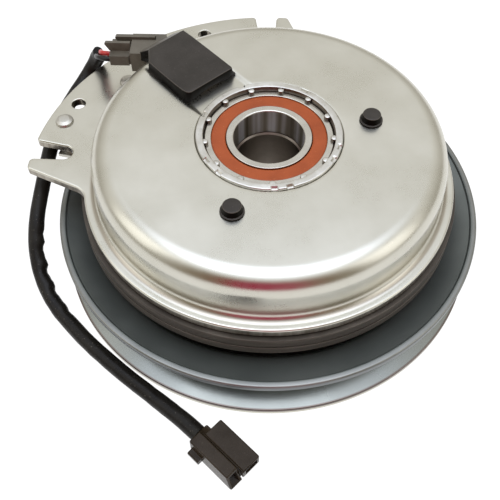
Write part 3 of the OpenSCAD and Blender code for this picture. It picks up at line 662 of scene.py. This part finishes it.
COVER_ANGLE = math.radians(133.5)
BRACKET_ANGLE = math.radians(133.3)
SHELL_TOP = 68.3
SHELL_SEGMENTS = 720
BRACKET_LOW, BRACKET_HIGH = 41.5, 45.5
# Radius and angle of the bracket's two holes
BRACKET_HOLES = ((99.8, 156.7), (99.2, 110.6))
BRACKET_HOLE_R = 3.25
CHANNEL_DEPTH = 0.9
# Half the channel's width at its floor and at its top
CHANNEL_FLOOR, CHANNEL_TOP = 12.6, 15.4


def cover_frame(x, y):
    """Along and across the cover's direction."""
    along = x * math.cos(COVER_ANGLE) + y * math.sin(COVER_ANGLE)
    across = -x * math.sin(COVER_ANGLE) + y * math.cos(COVER_ANGLE)
    return along, across


def press_channel(radius, height, angle):
    """Lowers the shell's top where the cover's channel runs."""
    along, across = cover_frame(radius * math.cos(angle), radius * math.sin(angle))
    if along < 0 or height < 60:
        return radius, height
    share = 1 - smoothstep(abs(across), CHANNEL_FLOOR, CHANNEL_TOP)
    floor = SHELL_TOP - CHANNEL_DEPTH
    outer = height > 64.4 or radius > 72.5
    drop = min(CHANNEL_DEPTH, max(0.0, height - floor)) if outer else CHANNEL_DEPTH
    if not outer:
        drop *= 1 - smoothstep(radius, 64, 69)
    return radius, height - share * drop


def mirrored(point):
    """The same point on the bracket's other side."""
    x, y, *rest = point
    along, across = math.cos(2 * BRACKET_ANGLE), math.sin(2 * BRACKET_ANGLE)
    return (x * along + y * across, x * across - y * along, *rest)


def bracket_outline():
    front = arc((0, 0), 108.2, 133.3, 170.9, 0.75)
    front.append((-107.12, 15.18, 1.9))
    front += arc((-93.2, 8), 4, 92, -90, 10)
    front.append((-108.12, 4.16, 2.2))
    front.append((-108.18, -1.78, 2.2))
    front += arc((-87.52, -19.63), 8, 66.2, 12.6, 6)
    rear = [mirrored(point) for point in reversed(front[1:])]
    return rounded(arc((0, 0), 81.7, -166.5, 73.0, 0.5) + rear + front)


def build_shell():
    bm = bmesh.new()
    hole_r, skirt_r, shoulder_r, sheet = 31.3, 76, 9, 4
    flat_r = skirt_r - shoulder_r
    shoulder_z = SHELL_TOP - shoulder_r
    outer = arc((79.5, 49), 3.5, 270, 180, 7.5)
    outer += [(skirt_r, z) for z in (51, 53, 55, 57)]
    outer += arc((flat_r, shoulder_z), shoulder_r, 0, 90, 4.5)
    outer += [(r, SHELL_TOP) for r in range(flat_r - 1, 32, -1)]
    outer += rounded([(33, SHELL_TOP), (hole_r, SHELL_TOP, 0.6), (hole_r, 64.3)], False)[1:]
    inner = [(r, SHELL_TOP - sheet) for r in range(34, flat_r, 3)]
    inner += arc((flat_r, shoulder_z), shoulder_r - sheet, 90, 0, 9)
    inner += arc((79.5, 49), 7.5, 180, 270, 9)
    rings = add_lathe(bm, outer + inner, SHELL_SEGMENTS, closed=False, change=press_channel)
    holes = [circle(BRACKET_HOLE_R, polar(*place)) for place in BRACKET_HOLES]
    walls = [add_wall(bm, bracket_outline(), BRACKET_LOW, BRACKET_HIGH, 0.3, 0.9)]
    walls += [add_wall(bm, hole, BRACKET_LOW, BRACKET_HIGH, 0.2, 0.5, -1) for hole in holes]
    fill(bm, [rings[-1]] + [pair[0] for pair in walls], -1)
    fill(bm, [rings[0]] + [pair[1] for pair in walls], 1)
    finish_mesh("shell", bm, "field", MATERIALS["zinc_shell"], stands_for=["field_shell"],
                slot="zinc_shell")


# Angles of the marks that the staking punch left in the carrier's edge
STAKE_MARKS = (-131, -85, -73, -28, -14, -147, 60, 115, 160)
# The small nubs in a ring over the bearing's edge
NUB_COUNT, NUB_RING, NUB_FIRST = 13, 27.3, -3


def carrier_edge(radius, height, angle):
    """Bends the carrier's top edge in a little and sinks it at each mark."""
    if radius < 29.2 or height < 67.5:
        return radius, height
    depth = 0.0
    for mark in STAKE_MARKS:
        away = (math.degrees(angle) - mark + 180) % 360 - 180
        depth = max(depth, 1 - smoothstep(abs(away), 2.2, 3.0))
    wander = 0.10 * noise.noise(Vector((math.cos(angle), math.sin(angle), 0)) * 9)
    share = smoothstep(radius, 29.4, 30.2)
    return radius - share * (0.25 + wander), height - share * 0.8 * depth


def build_carrier():
    profile = [(24.8, 41.9, 0.4), (34.5, 41.9, 0.4), (34.5, 64.3), (31.3, 64.3), (31.3, 67.4),
               (31.3, 69.2, 0.5), (30.3, 69.2), (29.4, 69.2), (28.6, 69.2), (28.0, 69.1, 0.2),
               (27.6, 66.8), (27.5, 54), (24.8, 54)]
    bm = bmesh.new()
    add_lathe(bm, rounded(profile), 540, change=carrier_edge)
    nub = rounded([(0, 67.02), (1.45, 67.02), (1.45, 68.6, 0.5), (0, 68.75)], False)
    for k in range(NUB_COUNT):
        add_lathe(bm, nub, 20, closed=False,
                  centre=polar(NUB_RING, k * 360 / NUB_COUNT + NUB_FIRST))
    finish_mesh("carrier", bm, "field", MATERIALS["machined_steel"],
                stands_for=["bearing_carrier"], slot="machined_steel")


def build_plugs():
    profile = [(0, 64.3), (3.5, 64.3), (3.5, 68.35), (4.95, 68.35, 0.1), (4.95, 69.25, 0.3),
               (4.3, 69.3, 0.15), (3.8, 72.3, 0.7), (0, 72.35)]
    bm = bmesh.new()
    for angle in (-107.9, 12.1):
        add_lathe(bm, rounded(profile, False), 64, closed=False, centre=polar(44.2, angle))
    finish_mesh("shell_plugs", bm, "field", MATERIALS["cover_nylon"],
                stands_for=["locating_plugs"], slot="cover_nylon")


# The cover's top is level up to the fold, then slopes down to its far end
COVER_HIGH, COVER_FOLD, COVER_SLOPE = 73.3, 72, 7.3 / 9


def cover_top(along):
    return COVER_HIGH - max(0.0, along - COVER_FOLD) * COVER_SLOPE


def build_cover():
    """Lofted from a flared foot to a smaller top whose far end slopes down."""
    across = (9, 6, 3, 0, -3, -6, -9)
    top = [(37.4, 12.9, 2.2)] + [(37.35, v) for v in across]
    top += [(37.2, -12.3, 1.2), (54.8, -12.4), (55.6, -12.4), (58, -12.4), (60.5, -12.4),
            (63, -12.4), (65.5, -12.4), (66.5, -12.4), (72, -12.2), (81, -12.0, 0.8),
            (81, 8.4, 0.8), (72, 8.6), (65.2, 13.5), (56.2, 13.75), (55.4, 13.75),
            (46, 13.8), (41, 13.6)]
    foot = [(38, 12.9, 3.0)] + [(math.sqrt(39 * 39 - v * v), v) for v in across]
    foot += [(38.4, -15.3, 0.6), (54.8, -14.6), (55.6, -16.4), (58, -17.1), (60.5, -17.2),
             (63, -17.0), (65.5, -16.2), (66.5, -14.2), (72, -13), (81, -12.6, 0.8),
             (81, 8.7, 0.8), (72, 9.0), (65.2, 15.0), (56.2, 14.3), (55.4, 13.3),
             (46, 13.9), (41, 14.2)]
    top, foot, edge = rounded(top), rounded(foot), 0.9
    bm = bmesh.new()

    def loop(points):
        turn_x, turn_y = math.cos(COVER_ANGLE), math.sin(COVER_ANGLE)
        return [bm.verts.new((u * turn_x - v * turn_y, u * turn_y + v * turn_x, z))
                for u, v, z in points]

    loops = []
    for share in (0, 0.05, 0.12, 0.25, 0.4, 0.6, 0.8):
        reach = (1 - share) ** 2
        points = []
        for (u, v), (low_u, low_v) in zip(top, foot):
            low_z = 67.4 - 5.4 * smoothstep(low_u, 66, 81)
            points.append((u + (low_u - u) * reach, v + (low_v - v) * reach,
                           low_z + (cover_top(u) - edge - low_z) * share))
        loops.append(loop(points))
    for k in range(6):
        a = math.pi / 2 * k / 5
        points = inset(top, edge * (1 - math.cos(a)))
        loops.append(loop([(u, v, cover_top(u) - edge * (1 - math.sin(a)))
                           for u, v in points]))
    for low, high in zip(loops, loops[1:]):
        wall_between(bm, low, high)
    bm.faces.new(loops[0][::-1])
    fold = [k for k, (u, v) in enumerate(top) if u == COVER_FOLD]
    bm.faces.new(loops[-1][:fold[0] + 1] + loops[-1][fold[1]:])
    bm.faces.new(loops[-1][fold[0]:fold[1] + 1])
    finish_mesh("cover", bm, "field", MATERIALS["cover_nylon"],
                stands_for=["terminal_cover"], slot="cover_nylon")


def build_bracket_rivets():
    profile = [(0, 26.6), (3.6, 26.6, 0.4), (3.6, 27.8), (2.2, 27.8), (2.2, 45.5),
               (4.3, 45.52, 0.2), (3.9, 46.6, 0.6), (2.4, 47.4, 0.8), (0, 47.6)]
    bm = bmesh.new()
    for radius, angle in ((100, 164.1), (89, 141.5)):
        add_lathe(bm, rounded(profile, False), 48, closed=False, centre=polar(radius, angle))
    finish_mesh("bracket_rivet_pair", bm, "field", MATERIALS["rivet_steel"],
                stands_for=["bracket_rivets"], slot="rivet_steel")


# ---- Bearings ----


def race(inner_r, outer_r, low, high, middle, ball, seat_r=None):
    """A bearing ring's profile with its ball groove and, on an outer ring, seal seats."""
    is_outer = seat_r is not None
    reach = (inner_r if is_outer else outer_r) - middle
    half = math.degrees(math.acos(abs(reach) / ball))
    facing = 0 if is_outer else 180
    groove = arc((middle, (low + high) / 2), ball, facing + half, facing - half, 8)
    if not is_outer:
        return ([(inner_r, low, 0.7), (outer_r, low, 0.3)] + groove
                + [(outer_r, high, 0.3), (inner_r, high, 0.7)])
    return ([(outer_r, low, 0.6), (outer_r, high, 0.6), (seat_r, high, 0.3),
             (seat_r, high - 1.5), (inner_r, high - 1.5)] + groove
            + [(inner_r, low + 1.5), (seat_r, low + 1.5), (seat_r, low, 0.3)])


def build_bearing(prefix, ring_body, seal_body, bore, outside, low, high, ball):
    """Rings and seals. bore and outside are radii, as ball is; low and high are heights."""
    middle, groove = (bore + outside) / 2, ball + 0.05
    steel, rubber = MATERIALS["bearing_steel"], MATERIALS["seal_rubber"]
    inner_shoulder, shoulder, seat = 3.05, 2.15, 3.35
    lathe(prefix + "_inner", race(bore, middle - inner_shoulder, low, high, middle, groove),
          ring_body, steel, stands_for=[prefix + "_inner_ring"], slot="bearing_steel")
    lathe(prefix + "_outer", race(middle + shoulder, outside, low, high, middle, groove,
                                  middle + seat),
          seal_body, steel, stands_for=[prefix + "_outer_ring"], slot="bearing_steel")
    for side, face, inwards in (("upper", high, -1), ("lower", low, 1)):
        lip, back = face + inwards * 0.35, face + inwards * 1.5
        seal = [(middle - 2.75, lip + inwards * 0.25, 0.2), (middle - 2.2, lip, 0.3),
                (middle + 2.7, lip, 0.3), (middle + 3.3, lip + inwards * 0.25, 0.15),
                (middle + 3.3, back), (middle - 2.75, back)]
        lathe(f"{prefix}_{side}_lip", seal, seal_body, rubber, sharp=60,
              stands_for=[f"{prefix}_{side}_seal"], slot="seal_rubber")


# ---- Rotor, armature and pulley ----


def banana(inner_r, outer_r, start, sweep):
    """A curved slot with round ends."""
    width = (outer_r - inner_r) / 2
    middle, end = inner_r + width, start + sweep
    points = arc((0, 0), outer_r, start, end, 2)
    points += arc(polar(middle, end), width, end, end + 180, 20)[1:-1]
    points += arc((0, 0), inner_r, end, start, 2)
    points += arc(polar(middle, start), width, start + 180, start + 360, 20)[1:-1]
    return points


POST_RING = 56
POST_ANGLES = (30, 150, 270)
# From a spring post to the rivet at its strap's other end
STRAP_ANGLE = 42


def build_friction_plates():
    iron = MATERIALS["friction_iron"]
    slots = [banana(52, 56, 60 * k + 1.5, 37) for k in range(6)]
    plate("friction_disc", circle(83.4, segments=256),
          [circle(26, segments=96)] + slots, 35.6, 40.3, "rotor", iron, 0.35,
          stands_for=["rotor_disc"], slot="friction_iron")
    holes = [circle(7, polar(POST_RING, a)) for a in POST_ANGLES]
    holes += [circle(2.5, polar(POST_RING, a + STRAP_ANGLE), 32) for a in POST_ANGLES]
    plate("armature_disc", circle(83.6, segments=256), [circle(45, segments=128)] + holes,
          31.1, 35.1, "armature", iron, 0.3, stands_for=["armature_plate"],
          slot="friction_iron")


def build_flanges():
    steel = MATERIALS["plated_steel"]
    upper = [(40, 13.3), (80, 13.3), (80, 17.9, 1.0), (96.2, 23.2, 0.5), (96.2, 26.2, 1.1),
             (93.5, 26.2, 0.5), (93.0, 25.3, 0.3), (80.5, 21.2, 3.5), (77, 16.3, 0.8),
             (40, 16.3)]
    lower = [(40, 13.3), (40, 10.3), (77, 10.3, 0.8), (80.5, 5.4, 3.5), (93.0, 1.4, 0.3),
             (93.4, 0.02, 0.5), (96, 0.02, 1.0), (96, 3.6, 0.5), (80, 8.8, 1.0), (80, 13.3)]
    for name, profile in (("upper", upper), ("lower", lower)):
        lathe(f"{name}_flange", profile, "pulley", steel, segments=300,
              stands_for=[f"pulley_{name}_flange"], slot="plated_steel")


def dress_cad_nodes():
    """CAD nodes whose shape stays get their slot's material."""
    for entry in frame["record"]["subparts"]:
        node = frame["nodes"][entry["node"]]
        material = MATERIALS[entry["material_slot"]]
        if not node.material_slots:
            node.data.materials.append(material)
        for slot in node.material_slots:
            slot.material = material


# ---- Surroundings ----


def build_floor():
    """A pale floor just below the part; its sizes are in metres."""
    bm = bmesh.new()
    reach, height = 3, -0.0002
    corners = [(-reach, -reach), (reach, -reach), (reach, reach), (-reach, reach)]
    bm.faces.new([bm.verts.new((x, y, height)) for x, y in corners])
    mesh = bpy.data.meshes.new("floor")
    bm.to_mesh(mesh)
    bm.free()
    look = Look("pale floor", (0.1, 0.1, 0.1), roughness=1.0)
    look.set("Specular IOR Level", 0.0)
    look.set("Emission Color", (1, 1, 1, 1))
    look.set("Emission Strength", 1.0)
    mesh.materials.append(look.material)
    floor = bpy.data.objects.new("floor", mesh)
    bpy.context.collection.objects.link(floor)


# Colours from straight below, through the horizon at 0.5, to straight above
SKY_STOPS = [(0.0, (0.75, 0.74, 0.72)), (0.5, (0.45, 0.42, 0.36)), (0.625, (0.60, 0.58, 0.53)),
             (0.86, (0.95, 0.94, 0.91)), (0.915, (0.88, 0.885, 0.89)), (0.95, (1.95, 2.10, 2.45))]


# Bands ahead: where each fades sideways, where it fades upwards, and its colour
FRONT_BANDS = [(1.0, 1.5, 0.62, 0.78, (0.20, 0.155, 0.075)),
               (0.32, 0.48, 0.58, 0.72, (0.42, 0.0, 0.055))]


def add_softbox(name, place, target, size, power, colour=(1, 1, 1)):
    data = bpy.data.lights.new(name, "AREA")
    data.shape = "RECTANGLE"
    data.size, data.size_y = size
    data.energy = power
    data.color = colour
    light = bpy.data.objects.new(name, data)
    light.location = place
    light.rotation_mode = "QUATERNION"
    light.rotation_quaternion = (Vector(target) - Vector(place)).to_track_quat("-Z", "Y")
    bpy.context.collection.objects.link(light)


class Sky(Look):
    """The studio around the object; its place is a direction."""

    def __init__(self, name):
        world = bpy.data.worlds.new(name)
        world.use_nodes = True
        bpy.context.scene.world = world
        self.tree = world.node_tree
        self.shader = self.tree.nodes["Background"]
        self.place = self.tree.nodes.new("ShaderNodeTexCoord").outputs["Generated"]


def light_scene():
    """A bright top, a greyer horizon, and two dark bands ahead of the object."""
    bpy.context.scene.view_settings.view_transform = "Standard"
    sky = Sky("studio")
    x, y, z = sky.axes()
    colour = sky.ramp(sky.span(z, -1, 1), SKY_STOPS)
    front = sky.math("MULTIPLY", y, -1.0)
    aside = sky.math("DIVIDE", sky.math("ABSOLUTE", x), sky.math("MAXIMUM", front, 0.02))
    ahead = sky.span(front, 0.05, 0.2)
    for near, far, low, high, shade in FRONT_BANDS:
        share = sky.math("MULTIPLY", sky.span(aside, near, far, 1.0, 0.0),
                         sky.span(z, low, high, 1.0, 0.0))
        colour = sky.mix(sky.math("MULTIPLY", share, ahead), colour, shade)
    sky.set("Color", colour)
    add_softbox("overhead", (0.0, -0.15, 1.1), (0, 0, 0.05), (0.9, 0.5), 1.7,
                (0.94, 0.97, 1.0))
    add_softbox("left", (-1.0, -0.2, 0.7), (0, 0, 0.05), (0.6, 0.8), 1.5)
    add_softbox("right", (1.0, -0.3, 0.6), (0, 0, 0.05), (0.6, 0.8), 1.5)


put_camera()
build_harness()
build_shell()
build_carrier()
build_plugs()
build_bracket_rivets()
build_bearing("field_bearing", "rotor", "field", bore=15, outside=27.5, low=54, high=67,
              ball=3.572)
build_bearing("pulley_bearing", "rotor", "pulley", bore=20, outside=34, low=6, high=21,
              ball=3.969)
build_friction_plates()
build_flanges()
build_cover()
refine("socket", "terminal_housing", "field", MATERIALS["plug_nylon"], shortest=1.5,
       slot="plug_nylon")
refine("plug", "plug_housing", "field", MATERIALS["plug_nylon"], shortest=1.0,
       slot="plug_nylon")
dress_cad_nodes()
build_floor()
light_scene()
